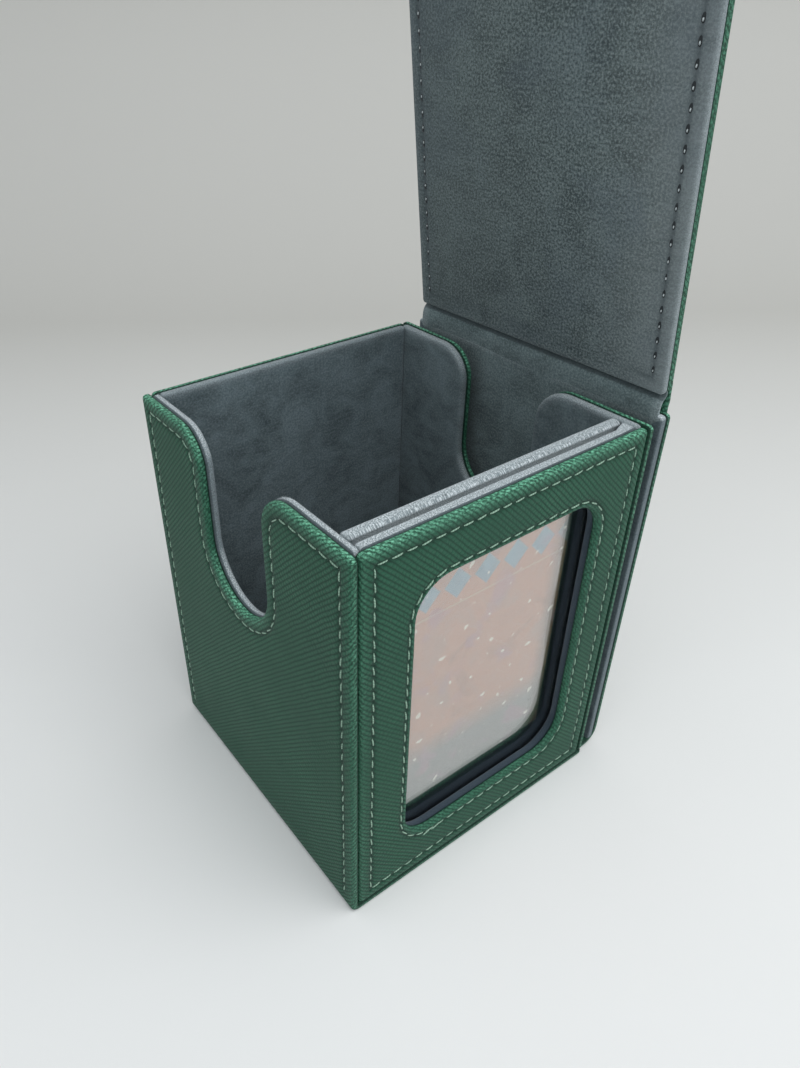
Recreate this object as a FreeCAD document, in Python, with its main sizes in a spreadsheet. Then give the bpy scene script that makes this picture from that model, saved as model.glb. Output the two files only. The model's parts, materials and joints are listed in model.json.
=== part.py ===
"""Card deck box: a leather-wrapped board box with a display window, two thumb notches
and a wrap-over lid that ends in a magnetic closing flap.

Millimetres, +Z up.  The origin is the middle of the base's underside: +X runs from
the closing side to the spine side, +Y from the window wall to the back wall.
Each wall is two boards thick: a leather-wrapped outer board and a suede inner board.
"""
import FreeCAD, Part
import os
import Sketcher

DIMENSIONS = {
    # the box
    "bodywidth": 87.5,       # closing wall to right wall, outside
    "bodydepth": 89.0,       # window wall to back wall, outside
    "wallheight": 112.0,
    "shell": 2.0,            # leather-wrapped outer layer of every panel
    "skin": 0.7,             # the leather itself
    "lining": 2.0,           # suede inner layer of every panel
    # the display pocket in the window wall
    "windowlining": 1.4,
    "pocketgap": 2.8,
    "pocketwall": 1.7,
    "windowleft": 17.0,
    "windowbottom": 15.9,
    "windowwidth": 55.8,
    "windowheight": 81.8,
    "windowradius": 9.0,
    # the thumb notch in both side walls
    "notchcentre": 45.8,
    "notchradius": 13.6,
    "notchbottom": 70.0,
    "shoulder": 9.5,
    # the spine, which stands off the right wall
    "spinegap": 3.9,
    "spineinset": 1.2,
    "foldradius": 5.6,
    # the lid and its closing flap
    "lidinset": 2.4,
    "lidlift": 0.6,          # air between the walls and the closed lid
    "flapair": 0.8,          # air between the closing wall and the closed flap
    "creasethick": 1.6,      # leather and suede with no board between them
    "creasebelow": 4.0,      # from the spine's top edge up to the lid's pivot
    "creaseabove": 1.6,      # from the lid's pivot to the lid's lower edge
    "creasehalf": 3.9,       # either side of the flap's pivot
    "flaplength": 66.0,
    "lean": 6.8,             # the open lid leans towards the box, degrees
    "panelcorner": 3.0,      # rounded corners of the flap's free end
    # the magnets
    "magnetradius": 5.0,
    "magnetspread": 24.0,    # either side of the middle
    "magnetreach": 57.0,     # from the flap's crease
    # the card and its rigid clear holder
    "holderwidth": 74.5,
    "holderheight": 100.0,
    "holderthick": 1.5,
    "holderskin": 0.45,
    "holderback": 6.1,       # rear face, from the window wall's outside
    "holderleft": 4.55,
    "holderlift": 0.3,
    "slotair": 0.3,          # play round the card in its holder
    "cardwidth": 63.0,
    "cardheight": 88.0,
    "cardthick": 0.35,
    "cardleft": 10.4,
    "cardbottom": 12.6,
}

SHEET = "dims"
PLANES = {"XY": "XY_Plane", "XZ": "XZ_Plane", "YZ": "YZ_Plane"}
sub_parts = []

doc = FreeCAD.newDocument("card_deck_box")
sheet = doc.addObject("Spreadsheet::Sheet", SHEET)
for row, (alias, number) in enumerate(DIMENSIONS.items(), start=1):
    sheet.set(f"A{row}", alias)
    sheet.set(f"B{row}", str(number))
    sheet.setAlias(f"B{row}", alias)
doc.recompute()


def bind(expression):
    """Put the sheet's name in front of every alias in an expression."""
    words = []
    word = ""
    for letter in expression + " ":
        if letter.isalpha():
            word += letter
            continue
        words.append(f"{SHEET}.{word}" if word in DIMENSIONS else word)
        words.append(letter)
        word = ""
    return "".join(words).strip()


def value(expression):
    """The number that an expression of the sheet's aliases stands for."""
    return float(sheet.evalExpression(bind(expression)))


# ---------------------------------------------------------------- outlines
# An outline is a list of corners.  Each is (u, v) in expressions, and after it comes
# None for a straight edge to the next corner, or the centre, the radius and the sense
# of an arc to it.

def rectangle(left, bottom, right, top):
    return [((left, bottom), None), ((right, bottom), None),
            ((right, top), None), ((left, top), None)]


def rounded_rectangle(left, bottom, right, top, radius):
    inner_left = f"{left} + {radius}"
    inner_right = f"{right} - ({radius})"
    inner_bottom = f"{bottom} + {radius}"
    inner_top = f"{top} - ({radius})"
    return [
        ((inner_left, bottom), None),
        ((inner_right, bottom), ((inner_right, inner_bottom), radius, True)),
        ((right, inner_bottom), None),
        ((right, inner_top), ((inner_right, inner_top), radius, True)),
        ((inner_right, top), None),
        ((inner_left, top), ((inner_left, inner_top), radius, True)),
        ((left, inner_top), None),
        ((left, inner_bottom), ((inner_left, inner_bottom), radius, True)),
    ]


def flap_end_rectangle(left, bottom, right, top, radius):
    """A rectangle with its two right-hand corners rounded."""
    inner_right = f"{right} - ({radius})"
    inner_bottom = f"{bottom} + {radius}"
    inner_top = f"{top} - ({radius})"
    return [
        ((left, bottom), None),
        ((inner_right, bottom), ((inner_right, inner_bottom), radius, True)),
        ((right, inner_bottom), None),
        ((right, inner_top), ((inner_right, inner_top), radius, True)),
        ((inner_right, top), None),
        ((left, top), None),
    ]


def notched_wall(front, bottom, back, top, inset="0"):
    """A wall's outline with the thumb notch; inset shrinks the wall round the notch."""
    bowl = f"(notchradius + {inset})"
    shoulder = f"(shoulder - {inset})"
    notch_front = f"notchcentre - {bowl}"
    notch_back = f"notchcentre + {bowl}"
    floor = f"notchbottom - {inset}"
    bowl_height = "notchbottom + notchradius"
    shoulder_height = "wallheight - shoulder"
    return [
        ((front, bottom), None),
        ((back, bottom), None),
        ((back, top), None),
        ((f"{notch_back} + {shoulder}", top),
         ((f"{notch_back} + {shoulder}", shoulder_height), shoulder, True)),
        ((notch_back, shoulder_height), None),
        ((notch_back, bowl_height), (("notchcentre", bowl_height), bowl, False)),
        (("notchcentre", floor), (("notchcentre", bowl_height), bowl, False)),
        ((notch_front, bowl_height), None),
        ((notch_front, shoulder_height),
         ((f"{notch_front} - {shoulder}", shoulder_height), shoulder, True)),
        ((f"{notch_front} - {shoulder}", top), None),
        ((front, top), None),
    ]


# ---------------------------------------------------------------- sketches
def draw(sketch, outline):
    """Add one closed outline, with every corner and radius bound to the sheet."""
    places = [FreeCAD.Vector(value(u), value(v), 0) for (u, v), _ in outline]
    first = sketch.GeometryCount
    ends = []
    for index, (_, arc) in enumerate(outline):
        start = places[index]
        end = places[(index + 1) % len(places)]
        if arc is None:
            sketch.addGeometry(Part.LineSegment(start, end), False)
            ends.append((1, 2))
            continue
        (centre_u, centre_v), radius, anticlockwise = arc
        centre = FreeCAD.Vector(value(centre_u), value(centre_v), 0)
        circle = Part.Circle(centre, FreeCAD.Vector(0, 0, 1), value(radius))
        low, high = (start, end) if anticlockwise else (end, start)
        curve = Part.ArcOfCircle(circle, circle.parameter(low), circle.parameter(high))
        sketch.addGeometry(curve, False)
        ends.append((1, 2) if anticlockwise else (2, 1))
    for index, ((u, v), arc) in enumerate(outline):
        here = first + index
        following = first + (index + 1) % len(outline)
        next_ends = ends[(index + 1) % len(outline)]
        sketch.addConstraint(
            Sketcher.Constraint("Coincident", here, ends[index][1], following, next_ends[0]))
        for kind, expression in (("DistanceX", u), ("DistanceY", v)):
            number = sketch.addConstraint(
                Sketcher.Constraint(kind, -1, 1, here, ends[index][0], value(expression)))
            sketch.setExpression(f"Constraints[{number}]", bind(expression))
        if arc is not None:
            number = sketch.addConstraint(Sketcher.Constraint("Radius", here, value(arc[1])))
            sketch.setExpression(f"Constraints[{number}]", bind(arc[1]))


def add_sketch(body, name, plane, level, outlines):
    """A sketch on one of the body's own planes, moved along +X, +Y or +Z to a level."""
    sketch = body.newObject("Sketcher::SketchObject", name)
    origin_plane = [f for f in body.Origin.OriginFeatures if f.Role == PLANES[plane]][0]
    sketch.AttachmentSupport = [(origin_plane, "")]
    sketch.MapMode = "FlatFace"
    away = f"-({level})" if plane == "XZ" else level
    sketch.setExpression("AttachmentOffset.Base.z", bind(away))
    for outline in outlines:
        draw(sketch, outline)
    return sketch


def add_pad(body, sketch, plane, thick):
    """Thicken a sketch towards +X, +Y or +Z."""
    pad = body.newObject("PartDesign::Pad", f"{sketch.Name}_pad")
    pad.Profile = sketch
    pad.setExpression("Length", bind(thick))
    pad.Reversed = plane == "XZ"
    return pad


def add_pocket(body, sketch, plane, thick):
    """Cut a sketch out of the body towards +X, +Y or +Z."""
    pocket = body.newObject("PartDesign::Pocket", f"{sketch.Name}_pocket")
    pocket.Profile = sketch
    pocket.setExpression("Length", bind(thick))
    pocket.Reversed = plane != "XZ"
    return pocket


# ---------------------------------------------------------------- bodies
def new_body(label):
    body = doc.addObject("PartDesign::Body", label)
    body.Label = label
    sub_parts.append(body)
    return body


def place_on_box(body):
    """Shift a piece drawn from the box's front corner to the middle of the base."""
    body.setExpression("Placement.Base.x", bind("-bodywidth / 2"))
    body.setExpression("Placement.Base.y", bind("-bodydepth / 2"))


def place_on_lid(body, along):
    """Stand a piece drawn flat on the open lid, along the lid from its crease."""
    body.Placement = FreeCAD.Placement(
        FreeCAD.Vector(0, 0, 0),
        FreeCAD.Rotation(FreeCAD.Vector(0, 1, 0), -90 - value("lean")))
    body.setExpression(
        "Placement.Base.x", bind(f"{PIVOT_X} - bodywidth / 2 - ({along}) * sin(lean * 1deg)"))
    body.setExpression("Placement.Base.y", bind("-bodydepth / 2"))
    body.setExpression("Placement.Base.z", bind(f"{PIVOT_Z} + ({along}) * cos(lean * 1deg)"))


def plate(label, plane, level, thick, outlines, place=place_on_box, along=None):
    """A flat piece: outlines thickened by thick from a level of its plane."""
    body = new_body(label)
    sketch = add_sketch(body, f"{label}_outline", plane, level, outlines)
    add_pad(body, sketch, plane, thick)
    if along is None:
        place(body)
    else:
        place(body, along)
    return body


def tray(label, plane, level, outlines, hollow, skin_first, place=place_on_box, along=None):
    """A leather wrap: a plate of the shell's thickness, hollowed for its board.

    skin_first says that the leather skin is on the low side, with the hollow above it.
    """
    body = plate(label, plane, level, "shell", outlines, place, along)
    hollow_level = f"{level} + skin" if skin_first else level
    sketch = add_sketch(body, f"{label}_hollow", plane, hollow_level, hollow)
    doc.recompute()
    solid_volume = body.Shape.Volume
    add_pocket(body, sketch, plane, "shell - skin")
    doc.recompute()
    if body.Shape.Volume >= solid_volume:
        raise RuntimeError(f"{label}: the hollow cut nothing")
    return body


def wrapped_board(name, plane, level, outlines, inner, skin_first, place=place_on_box, along=None):
    """The leather wrap of a panel and the board inside it."""
    tray(f"{name}_leather", plane, level, outlines, inner, skin_first, place, along)
    board_level = f"{level} + skin" if skin_first else level
    plate(f"{name}_board", plane, board_level, "shell - skin", inner, place, along)


WALL = "(shell + lining)"
POCKET_WALL_FACE = "(shell + windowlining + pocketgap)"
SPINE_INSIDE = "(bodywidth + spinegap)"
SPINE_MIDDLE = f"({SPINE_INSIDE} + lining)"
SPINE_OUTSIDE = f"({SPINE_MIDDLE} + shell)"
# Both creases pivot in the middle of the outer leather, as a book's cover does.
PIVOT_X = f"({SPINE_OUTSIDE} - skin / 2)"
PIVOT_Z = "(wallheight + lidlift + lining + shell - skin / 2)"
SPINE_TOP = f"({PIVOT_Z} - creasebelow)"
LID_LENGTH = f"({PIVOT_X} + flapair + lining + shell - skin / 2)"
LEATHER_LEVEL = "-skin / 2"
LINING_LEVEL = "shell - skin / 2"
MAGNET_HEIGHT = f"({PIVOT_Z} - magnetreach)"


def magnet_centres(u, v, spread_along_u):
    """The middles of two magnets, spread either side of (u, v) along one of its axes."""
    if spread_along_u:
        return [(f"{u} {side} magnetspread", v) for side in "-+"]
    return [(u, f"{v} {side} magnetspread") for side in "-+"]


def draw_circle(sketch, centre, radius):
    u, v = centre
    place = FreeCAD.Vector(value(u), value(v), 0)
    circle = sketch.addGeometry(
        Part.Circle(place, FreeCAD.Vector(0, 0, 1), value(radius)), False)
    for kind, expression in (("DistanceX", u), ("DistanceY", v)):
        number = sketch.addConstraint(
            Sketcher.Constraint(kind, -1, 1, circle, 3, value(expression)))
        sketch.setExpression(f"Constraints[{number}]", bind(expression))
    number = sketch.addConstraint(Sketcher.Constraint("Radius", circle, value(radius)))
    sketch.setExpression(f"Constraints[{number}]", bind(radius))


def bore_board(board, plane, level, circles):
    """Cut the magnets' seats through a board."""
    sketch = add_sketch(board, f"{board.Label}_seats", plane, level, [])
    for centre in circles:
        draw_circle(sketch, centre, "magnetradius")
    doc.recompute()
    before = board.Shape.Volume
    add_pocket(board, sketch, plane, "shell - skin")
    doc.recompute()
    if board.Shape.Volume >= before:
        raise RuntimeError(f"{board.Label}: the seats cut nothing")


def magnet_pair(label, plane, level, circles):
    """Two disc magnets as one compound, made of cylinders standing on a plane."""
    discs = []
    for index, (u, v) in enumerate(circles, start=1):
        disc = doc.addObject("Part::Cylinder", f"{label}_disc{index}")
        disc.setExpression("Radius", bind("magnetradius"))
        disc.setExpression("Height", bind("shell - skin"))
        if plane == "YZ":
            place = FreeCAD.Vector(value(level), value(u), value(v))
            disc.Placement = FreeCAD.Placement(place, FreeCAD.Rotation(FreeCAD.Vector(0, 1, 0), 90))
        else:
            disc.Placement.Base = FreeCAD.Vector(value(u), value(v), value(level))
        discs.append(disc)
    pair = doc.addObject("Part::Compound", label)
    pair.Label = label
    pair.Links = discs
    sub_parts.append(pair)
    return pair


# ---------------------------------------------------------------- the box
def make_side_walls():
    """The closing wall and the right wall, both with the thumb notch."""
    outer = [notched_wall("0", "shell", "bodydepth", "wallheight")]
    inner = [notched_wall("skin", "shell + skin", "bodydepth - skin", "wallheight - skin", "skin")]
    lining = [notched_wall("shell", "shell", "bodydepth - shell", "wallheight")]
    wrapped_board("closing_wall", "YZ", "0", outer, inner, skin_first=True)
    plate("closing_wall_lining", "YZ", "shell", "lining", lining)
    wrapped_board("right_wall", "YZ", "bodywidth - shell", outer, inner, skin_first=False)
    plate("right_wall_lining", "YZ", f"bodywidth - {WALL}", "lining", lining)
    seats = magnet_centres("notchcentre", MAGNET_HEIGHT, spread_along_u=True)
    board = doc.getObject("closing_wall_board")
    bore_board(board, "YZ", "skin", seats)
    place_on_box(magnet_pair("closing_wall_magnets", "YZ", "skin", seats))


def make_window_wall():
    """The stitched window panel, its lining and the inner wall of the card pocket."""
    def opening(grow):
        return rounded_rectangle(
            f"windowleft - {grow}", f"windowbottom - {grow}",
            f"windowleft + windowwidth + {grow}", f"windowbottom + windowheight + {grow}",
            f"(windowradius + {grow})")
    outer = [rectangle("shell", "shell", "bodywidth - shell", "wallheight"), opening("0")]
    inner = [rectangle("shell + skin", "shell + skin", "bodywidth - shell - skin", "wallheight - skin"),
             opening("skin")]
    between = rectangle(WALL, WALL, f"bodywidth - {WALL}", "wallheight")
    wrapped_board("window_panel", "XZ", "0", outer, inner, skin_first=True)
    plate("window_panel_lining", "XZ", "shell", "windowlining", [between, opening("0")])
    plate("pocket_wall", "XZ", POCKET_WALL_FACE, "pocketwall", [between])


def make_back_wall():
    outer = [rectangle("shell", "shell", "bodywidth - shell", "wallheight")]
    inner = [rectangle("shell + skin", "shell + skin", "bodywidth - shell - skin", "wallheight - skin")]
    between = [rectangle(WALL, WALL, f"bodywidth - {WALL}", "wallheight")]
    wrapped_board("back_wall", "XZ", "bodydepth - shell", outer, inner, skin_first=False)
    plate("back_wall_lining", "XZ", f"bodydepth - {WALL}", "lining", between)


def make_base():
    outer = [rectangle("0", "0", "bodywidth", "bodydepth")]
    inner = [rectangle("skin", "skin", "bodywidth - skin", "bodydepth - skin")]
    floor = [rectangle(WALL, "shell", f"bodywidth - {WALL}", "bodydepth - shell")]
    wrapped_board("base", "XY", "0", outer, inner, skin_first=True)
    plate("floor_lining", "XY", "shell", "lining", floor)


def make_spine():
    """The spine stands off the right wall, and its leather folds under to meet the base."""
    front = "spineinset"
    back = "bodydepth - spineinset"
    fold_x = f"{SPINE_OUTSIDE} - foldradius"
    profile = [
        (("bodywidth", "0"), None),
        ((fold_x, "0"), ((fold_x, "foldradius"), "foldradius", True)),
        ((SPINE_OUTSIDE, "foldradius"), None),
        ((SPINE_OUTSIDE, SPINE_TOP), None),
        ((SPINE_MIDDLE, SPINE_TOP), None),
        ((SPINE_MIDDLE, "shell"), None),
        (("bodywidth", "shell"), None),
    ]
    leather = new_body("spine_leather")
    sketch = add_sketch(leather, "spine_leather_profile", "XZ", front, [profile])
    add_pad(leather, sketch, "XZ", f"{back} - {front}")
    board = rectangle(f"{front} + skin", "foldradius", f"{back} - skin", f"{SPINE_TOP} - skin")
    hollow = add_sketch(leather, "spine_leather_hollow", "YZ", SPINE_MIDDLE, [board])
    doc.recompute()
    before = leather.Shape.Volume
    add_pocket(leather, hollow, "YZ", "shell - skin")
    doc.recompute()
    if leather.Shape.Volume >= before:
        raise RuntimeError("spine_leather: the hollow cut nothing")
    place_on_box(leather)
    plate("spine_board", "YZ", SPINE_MIDDLE, "shell - skin", [board])
    plate("spine_lining", "YZ", SPINE_INSIDE, "lining",
          [rectangle(front, "shell", back, SPINE_TOP)])


# ---------------------------------------------------------------- the lid and the flap
# Both are drawn flat: x runs along the lid from its pivot, and z is 0 in the middle of
# the leather skin and grows through the board and the suede towards the box.

def make_lid():
    start = "creaseabove"
    end = f"{LID_LENGTH} - creasehalf"
    front = "lidinset"
    back = "bodydepth - lidinset"
    outer = [rectangle(start, front, end, back)]
    inner = [rectangle(f"{start} + skin", f"{front} + skin", f"{end} - skin", f"{back} - skin")]
    wrapped_board("lid", "XY", LEATHER_LEVEL, outer, inner, True, place_on_lid, "0")
    plate("lid_lining", "XY", LINING_LEVEL, "lining", outer, place_on_lid, "0")


def make_flap():
    start = "creasehalf"
    end = "flaplength"
    front = "lidinset"
    back = "bodydepth - lidinset"
    outer = [flap_end_rectangle(start, front, end, back, "panelcorner")]
    inner = [flap_end_rectangle(f"{start} + skin", f"{front} + skin", f"{end} - skin",
                                f"{back} - skin", "(panelcorner - skin)")]
    wrapped_board("flap", "XY", LEATHER_LEVEL, outer, inner, True, place_on_lid, LID_LENGTH)
    plate("flap_lining", "XY", LINING_LEVEL, "lining", outer, place_on_lid, LID_LENGTH)
    seats = magnet_centres("magnetreach", "notchcentre", spread_along_u=False)
    bore_board(doc.getObject("flap_board"), "XY", "skin / 2", seats)
    place_on_lid(magnet_pair("flap_magnets", "XY", "skin / 2", seats), LID_LENGTH)


def make_creases():
    """The board-free strips of leather and suede that bend: at the spine and at the flap."""
    front = "lidinset"
    back = "bodydepth - lidinset"
    plate("lid_crease", "YZ", f"{SPINE_OUTSIDE} - creasethick", "creasethick",
          [rectangle(front, SPINE_TOP, back, f"{PIVOT_Z} + creaseabove / 2")])
    plate("flap_crease", "XY", LEATHER_LEVEL, "creasethick",
          [rectangle("-creasehalf", front, "creasehalf", back)], place_on_lid, LID_LENGTH)


# ---------------------------------------------------------------- the display card
def make_card():
    left = "holderleft"
    right = "holderleft + holderwidth"
    bottom = f"{WALL} + holderlift"
    top = f"{WALL} + holderlift + holderheight"
    front = "holderback - holderthick"
    holder = plate("card_holder", "XZ", front, "holderthick",
                   [rounded_rectangle(left, bottom, right, top, "panelcorner")])
    slot = add_sketch(holder, "card_holder_slot", "XZ", f"{front} + holderskin",
                      [rectangle("cardleft - slotair", "cardbottom - slotair",
                                 "cardleft + cardwidth + slotair", f"{top} + slotair")])
    doc.recompute()
    before = holder.Shape.Volume
    add_pocket(holder, slot, "XZ", "holderthick - 2 * holderskin")
    doc.recompute()
    if holder.Shape.Volume >= before:
        raise RuntimeError("card_holder: the slot cut nothing")
    plate("display_card", "XZ", f"{front} + (holderthick - cardthick) / 2", "cardthick",
          [rectangle("cardleft", "cardbottom", "cardleft + cardwidth", "cardbottom + cardheight")])


make_side_walls()
make_window_wall()
make_back_wall()
make_base()
make_spine()
make_lid()
make_flap()
make_creases()
make_card()
doc.recompute()

for thing in doc.Objects:
    if "Invalid" in thing.State or "Error" in thing.State:
        raise RuntimeError(f"{thing.Name} failed: {thing.State}")
os.makedirs("parts", exist_ok=True)
for sub_part in sub_parts:
    shape = sub_part.Shape
    if shape.isNull() or not shape.isValid():
        raise RuntimeError(f"{sub_part.Label} has no valid shape")
    shape.exportStep(f"parts/{sub_part.Label}.step")
    box = shape.BoundBox
    print(f"{sub_part.Label:22s} {shape.Volume:9.1f} mm3  "
          f"x {box.XMin:7.2f} {box.XMax:7.2f}  y {box.YMin:7.2f} {box.YMax:7.2f}  "
          f"z {box.ZMin:7.2f} {box.ZMax:7.2f}")
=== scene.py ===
"""Looks of the card deck box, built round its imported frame.

Panels are worked out in millimetres on their own flat sheet (u, v and a height above the
sheet's back) and then placed, or folded, where the frame's boxes say.
"""
import json
import math
import random

import bmesh
import bpy
import numpy as np
from mathutils import Matrix, Vector, noise
from mathutils.geometry import delaunay_2d_cdt


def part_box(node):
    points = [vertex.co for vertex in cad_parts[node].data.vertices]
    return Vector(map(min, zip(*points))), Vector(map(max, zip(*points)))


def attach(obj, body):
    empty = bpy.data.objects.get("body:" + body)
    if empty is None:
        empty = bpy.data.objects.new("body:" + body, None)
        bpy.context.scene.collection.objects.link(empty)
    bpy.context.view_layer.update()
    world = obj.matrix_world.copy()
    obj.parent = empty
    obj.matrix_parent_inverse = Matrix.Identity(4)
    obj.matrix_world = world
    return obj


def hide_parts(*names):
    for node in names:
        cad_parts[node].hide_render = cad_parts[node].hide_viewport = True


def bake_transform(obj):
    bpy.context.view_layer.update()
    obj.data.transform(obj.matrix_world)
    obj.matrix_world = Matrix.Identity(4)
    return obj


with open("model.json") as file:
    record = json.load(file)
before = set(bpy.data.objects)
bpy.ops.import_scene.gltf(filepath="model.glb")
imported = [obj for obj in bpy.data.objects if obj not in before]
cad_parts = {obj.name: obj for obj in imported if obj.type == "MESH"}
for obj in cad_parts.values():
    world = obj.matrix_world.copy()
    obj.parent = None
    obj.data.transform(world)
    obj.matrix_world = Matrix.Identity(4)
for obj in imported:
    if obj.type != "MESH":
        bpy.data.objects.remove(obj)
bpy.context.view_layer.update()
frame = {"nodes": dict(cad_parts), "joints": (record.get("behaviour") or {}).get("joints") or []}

MM = 0.001
rng = random.Random(7)
nap_rng = random.Random(23)

RIB_PITCH = 1.05        # millimetres between the ribs of the leather's grain
STITCH_PITCH = 3.6
STITCH_LENGTH = 3.15
STITCH_LEAN = 5.0       # degrees from the row's own direction
STITCH_SINK = 0.16      # how far a row lies below its sheet's face
THREAD_WIDTH = 0.175    # half widths of a stitch
THREAD_HEIGHT = 0.19
TRIM = 0.1              # left free at the ends of a row
EDGE_STITCH = 3.5       # from a panel's edge to its row of stitches
WINDOW_STITCH = 1.9
NOTCH_STITCH = 3.6
CHANNEL = 0.2           # depth of the groove that a row lies in
DEEP = 3.0              # marks the hidden lower part of an edge, drawn dark as painted shade in the gap under it
TIGHT = 0.03            # smallest corner left where an inset has used up a radius
WAVE_SIZE = 16.0        # across one swell of an uneven face
NAP_PER_MM = 11.0
LINING_PLUMP = 1.05     # how much thicker the suede beside the pocket is than in the CAD
POCKET_PLUMP = 0.9
LOZENGES = 7.0          # along the card's row of lozenges
LOZENGE_ROW = 0.865     # its middle and half height, as shares of the card's height
LOZENGE_HALF = 0.055


def box_mm(node):
    low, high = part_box(node)
    return low / MM, high / MM


def rise(value, start, length):
    """0 up to a start, then evenly up to 1 over a length."""
    return min(1.0, max(0.0, (value - start) / length))


# ---------------- outlines
class Outline:
    """A closed outline of rounded corners, each (u, v, radius, start, end) in degrees.

    It runs anticlockwise, and a corner whose end is below its start is hollow.
    """

    def __init__(self, corners, breaks=()):
        self.corners = corners
        self.counts = []
        self.shares = []
        for _, _, radius, start, end in corners:
            length = math.radians(abs(end - start)) * radius
            self.counts.append(max(5, int(length / 1.1)))
        for index in range(len(corners)):
            start = self.arc(index, 0)[-1]
            end = self.arc((index + 1) % len(corners), 0)[0]
            pieces = max(1, round((end - start).length / 2.0))
            shares = {k / pieces for k in range(1, pieces)}
            for level in breaks:
                if abs(end.y - start.y) > 1e-6:
                    share = (level - start.y) / (end.y - start.y)
                    if 0.0005 < share < 0.9995:
                        shares.add(share)
            self.shares.append(sorted(shares))

    def arc(self, index, inset):
        u, v, radius, start, end = self.corners[index]
        convex = end > start
        reach = radius - inset if convex else radius + inset
        half = math.radians(abs(end - start)) / 2
        middle = math.radians(start + end) / 2
        if convex and reach < TIGHT:
            shift = (reach - TIGHT) / math.cos(half)
            u += shift * math.cos(middle)
            v += shift * math.sin(middle)
            reach = TIGHT
        count = self.counts[index]
        angles = [math.radians(start + (end - start) * k / (count - 1)) for k in range(count)]
        return [Vector((u + reach * math.cos(a), v + reach * math.sin(a))) for a in angles]

    def ring(self, inset):
        """All the way round, at an inset."""
        arcs = [self.arc(k, inset) for k in range(len(self.corners))]
        points = []
        for index, arc in enumerate(arcs):
            points += arc
            start, end = arc[-1], arcs[(index + 1) % len(arcs)][0]
            points += [start.lerp(end, share) for share in self.shares[index]]
        return points

    def outward(self):
        """The outward direction at each point of a ring."""
        ring = self.ring(0)
        result = []
        for index in range(len(ring)):
            along = ring[(index + 1) % len(ring)] - ring[index - 1]
            result.append(Vector((along.y, -along.x)).normalized())
        return result

    def run(self, inset, first, last):
        """The path at an inset from the middle of one corner to the middle of a later one."""
        arcs = [self.arc(k % len(self.corners), inset) for k in range(first, last + 1)]
        path = arcs[0][len(arcs[0]) // 2:]
        for arc in arcs[1:-1]:
            path += arc
        return path + arcs[-1][:len(arcs[-1]) // 2 + 1]

    def sides(self, inset):
        """A path along each side."""
        return [self.run(inset, side, side + 1) for side in range(len(self.corners))]


def rectangle(left, bottom, right, top, radius=1.0, breaks=(), radii=None):
    """radii, if given, are for the bottom left, bottom right, top right and top left corners."""
    a, b, c, d = radii or (radius,) * 4
    return Outline([
        (left + a, bottom + a, a, 180, 270), (right - b, bottom + b, b, 270, 360),
        (right - c, top - c, c, 0, 90), (left + d, top - d, d, 90, 180)], breaks)


def notched(left, bottom, right, top, breaks=()):
    centre, bowl, lowest, shoulder = NOTCH
    radius = 1.2
    return Outline([
        (left + radius, bottom + radius, radius, 180, 270),
        (right - radius, bottom + radius, radius, 270, 360),
        (right - radius, top - radius, radius, 0, 90),
        (centre + bowl + shoulder, top - shoulder, shoulder, 90, 180),
        (centre, lowest + bowl, bowl, 0, -180),
        (centre - bowl - shoulder, top - shoulder, shoulder, 0, 90),
        (left + radius, top - radius, radius, 90, 180)], breaks)


# ---------------- placing
def on_plane(origin, u_way, v_way, out):
    """A placement: (u, v, height) on a flat sheet to a point, in millimetres."""
    origin, u_way, v_way, out = (Vector(x) for x in (origin, u_way, v_way, out))
    return lambda u, v, h: origin + u_way * u + v_way * v + out * h


def across_x(x, way):
    """On a plane that faces +X or -X, with u along Y and v up."""
    return on_plane((x, 0, 0), (0, 1, 0), (0, 0, 1), (way, 0, 0))


def across_y(y, way):
    """On a plane that faces +Y or -Y, with u along X and v up."""
    return on_plane((0, y, 0), (1, 0, 0), (0, 0, 1), (0, way, 0))


def folded_wall(face_x, outward, radius, thick):
    """A wall whose sheet turns under the box at its foot, with u along Y and v up the wall."""
    quarter = math.pi * radius / 2

    def place(u, v, h):
        depth = thick - h
        if v >= radius:
            return Vector((face_x - outward * depth, u, v))
        along = radius - v
        if along > quarter:
            return Vector((face_x - outward * (radius + along - quarter), u, depth))
        angle = along / radius
        reach = radius - depth
        return Vector((face_x - outward * (radius - reach * math.cos(angle)), u,
                       radius - reach * math.sin(angle)))
    return place


# ---------------- meshes
class Mesh:
    """Vertices with their grain coordinates and marks, and faces, gathered piece by piece."""

    def __init__(self):
        self.points = []
        self.grain = []
        self.marks = []
        self.faces = []

    def add(self, point, grain, mark=(0.0, 0.0, 0.0)):
        self.points.append(point)
        self.grain.append(grain)
        self.marks.append(mark)
        return len(self.points) - 1

    def close_tube(self, rings, sides):
        """Faces over the rings of points that were added last, and over both ends."""
        base = len(self.points) - rings * sides
        for low in range(base, base + (rings - 1) * sides, sides):
            for s in range(sides):
                n = (s + 1) % sides
                self.faces.append((low + s, low + n, low + sides + n, low + sides + s))
        for end in (base, base + (rings - 1) * sides):
            self.faces.append(tuple(range(end, end + sides)))

    def build(self, name, material):
        mesh = bpy.data.meshes.new(name)
        mesh.from_pydata([tuple(p * MM) for p in self.points], [], self.faces)
        for label, rows in (("grain", self.grain), ("mark", self.marks)):
            layer = mesh.attributes.new(label, "FLOAT_VECTOR", "POINT")
            layer.data.foreach_set("vector", np.array(rows, np.float32).ravel())
        work = bmesh.new()
        work.from_mesh(mesh)
        bmesh.ops.recalc_face_normals(work, faces=work.faces)
        work.to_mesh(mesh)
        work.free()
        mesh.polygons.foreach_set("use_smooth", [True] * len(mesh.polygons))
        mesh.materials.append(material)
        piece = bpy.data.objects.new(name, mesh)
        bpy.context.scene.collection.objects.link(piece)
        return piece


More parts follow.
